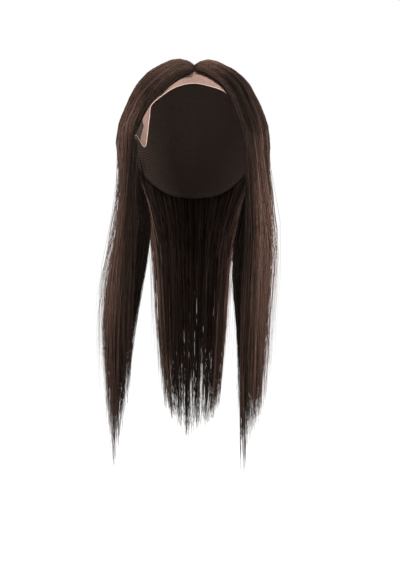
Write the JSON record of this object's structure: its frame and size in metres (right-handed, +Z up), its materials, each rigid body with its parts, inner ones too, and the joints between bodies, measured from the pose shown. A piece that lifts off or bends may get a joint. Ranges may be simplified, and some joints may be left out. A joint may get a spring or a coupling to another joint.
{
  "type": "lace front wig",
  "caption": "Long straight dark brown wig with a middle parting: sheer lace along the forehead, a hollow net cap for the head, and hair falling before the shoulders and down the back.",
  "frame": {"origin": "the crown of the head, where the inside of the cap sits on it", "axes": "+Z up, -Y the way the wearer looks, +X the wearer's left"},
  "size_m": [0.1974, 0.1895, 0.458],
  "materials": {
    "cap_net": "fine dark brown stretch net, matte",
    "lace": "sheer skin-toned net, matte",
    "hair": "smooth dark brown hair with a soft sheen"
  },
  "bodies": {
    "root": {"wig_cap": "cap_net", "lace_front": "lace", "hair_right": "hair", "hair_left": "hair", "hair_back": "hair"}
  },
  "joints": []
}
